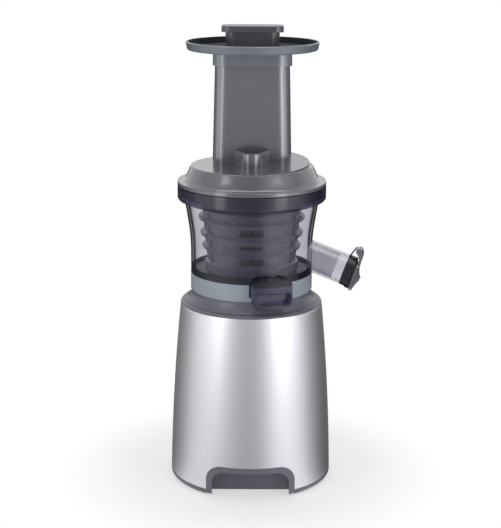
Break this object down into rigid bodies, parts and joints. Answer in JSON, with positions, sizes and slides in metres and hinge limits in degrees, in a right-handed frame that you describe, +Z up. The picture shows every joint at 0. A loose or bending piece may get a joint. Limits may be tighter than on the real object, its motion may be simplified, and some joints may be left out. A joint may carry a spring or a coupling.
{
  "type": "cold press juicer",
  "caption": "Upright cold press juicer: silver motor base, tinted bowl with auger and filter, lid with oval feed tube, round food tray, pusher and tapped juice spout.",
  "frame": {"origin": "on the drive axis, on the surface that the juicer stands on", "axes": "+Z up along the drive axis, -Y to the front, +X towards the juice spout"},
  "size_m": [0.1842, 0.1659, 0.434],
  "materials": {
    "silver_shell": "satin",
    "grey_shell": "satin",
    "dark_plastic": "matt",
    "foot_rubber": "matt",
    "steel": "brushed",
    "pale_grey": "satin",
    "winding_copper": "satin",
    "bronze": "satin",
    "silicone": "matt",
    "board_green": "matt",
    "black_plastic": "satin",
    "gear_nylon": "satin",
    "smoke_bowl": "polished",
    "clear_spout": "polished",
    "filter_plastic": "satin",
    "wiper_plastic": "polished",
    "auger_plastic": "satin",
    "lid_grey": "satin"
  },
  "bodies": {
    "base": {"outer_skin": "silver_shell", "plinth": "grey_shell", "arch_liner": "grey_shell", "bottom_cover": "dark_plastic", "feet": "foot_rubber", "cover_screws": "steel", "top_shoulder": "grey_shell", "bowl_collar": "pale_grey", "motor_can": "steel", "motor_stator": "winding_copper", "gearbox_housing": "dark_plastic", "gearbox_cover": "dark_plastic", "lower_bearing": "bronze", "upper_bearing": "bronze", "shaft_seal": "silicone", "circuit_board": "board_green", "switch_housing": "black_plastic", "cord_gland": "foot_rubber"},
    "rotor": {"motor_rotor": "steel", "cooling_fan": "dark_plastic", "motor_pinion": "steel"},
    "idler": {"idler_gear": "gear_nylon"},
    "drive": {"output_gear": "gear_nylon", "drive_shaft": "steel"},
    "rocker": {"switch_rocker": "black_plastic"},
    "bowl": {"bowl": "smoke_bowl", "bowl_floor_plate": "smoke_bowl", "hub_seal": "silicone", "juice_spout": "clear_spout", "filter_drum": "filter_plastic", "tap_ring": "black_plastic", "tap_pin": "steel"},
    "brush_idler": {"brush_gear": "gear_nylon"},
    "wiper": {"wiper_cage": "wiper_plastic", "wiper_blades": "silicone"},
    "auger": {"auger": "auger_plastic", "auger_socket": "steel"},
    "lid": {"lid": "lid_grey", "feed_tube": "lid_grey", "auger_bush": "gear_nylon"},
    "tray": {"food_tray": "lid_grey"},
    "pusher": {"pusher": "lid_grey"},
    "tap": {"tap_lever": "lid_grey", "tap_seal": "silicone"}
  },
  "joints": [
    {"name": "drive_spin", "type": "hinge", "parent": "base", "child": "drive", "pos_m": [0, 0, 0.15], "axis": [0, 0, 1], "continuous": true},
    {"name": "rotor_spin", "type": "hinge", "parent": "base", "child": "rotor", "pos_m": [0, 0, 0.06], "axis": [0, 0, 1], "continuous": true},
    {"name": "idler_spin", "type": "hinge", "parent": "base", "child": "idler", "pos_m": [0.03, 0, 0.12], "axis": [0, 0, 1], "continuous": true},
    {"name": "switch_rock", "type": "hinge", "parent": "base", "child": "rocker", "pos_m": [0, 0.067, 0.06], "axis": [1, 0, 0], "range_deg": [-10, 10]},
    {"name": "bowl_lift", "type": "slide", "parent": "base", "child": "bowl", "axis": [0, 0, 1], "range_m": [0, 0.045]},
    {"name": "auger_spin", "type": "hinge", "parent": "bowl", "child": "auger", "pos_m": [0, 0, 0.24], "axis": [0, 0, 1], "continuous": true},
    {"name": "brush_gear_spin", "type": "hinge", "parent": "bowl", "child": "brush_idler", "pos_m": [0, 0.02625, 0.21], "axis": [0, 0, 1], "continuous": true},
    {"name": "wiper_spin", "type": "hinge", "parent": "bowl", "child": "wiper", "pos_m": [0, 0, 0.24], "axis": [0, 0, 1], "continuous": true},
    {"name": "lid_lift", "type": "slide", "parent": "bowl", "child": "lid", "axis": [0, 0, 1], "range_m": [0, 0.035]},
    {"name": "tray_lift", "type": "slide", "parent": "lid", "child": "tray", "axis": [0, 0, 1], "range_m": [0, 0.03]},
    {"name": "pusher_lift", "type": "slide", "parent": "lid", "child": "pusher", "axis": [0, 0, 1], "range_m": [0, 0.1]},
    {"name": "tap_open", "type": "hinge", "parent": "bowl", "child": "tap", "pos_m": [0.09422, -0.02003, 0.19321], "axis": [0.2079, 0.9781, 0], "range_deg": [0, 100]}
  ],
  "couplings": [
    {"joint": "rotor_spin", "follows": "drive_spin", "ratio": 9},
    {"joint": "idler_spin", "follows": "drive_spin", "ratio": -3},
    {"joint": "auger_spin", "follows": "drive_spin", "ratio": 1},
    {"joint": "brush_gear_spin", "follows": "drive_spin", "ratio": -1.3333},
    {"joint": "wiper_spin", "follows": "drive_spin", "ratio": -0.4}
  ]
}
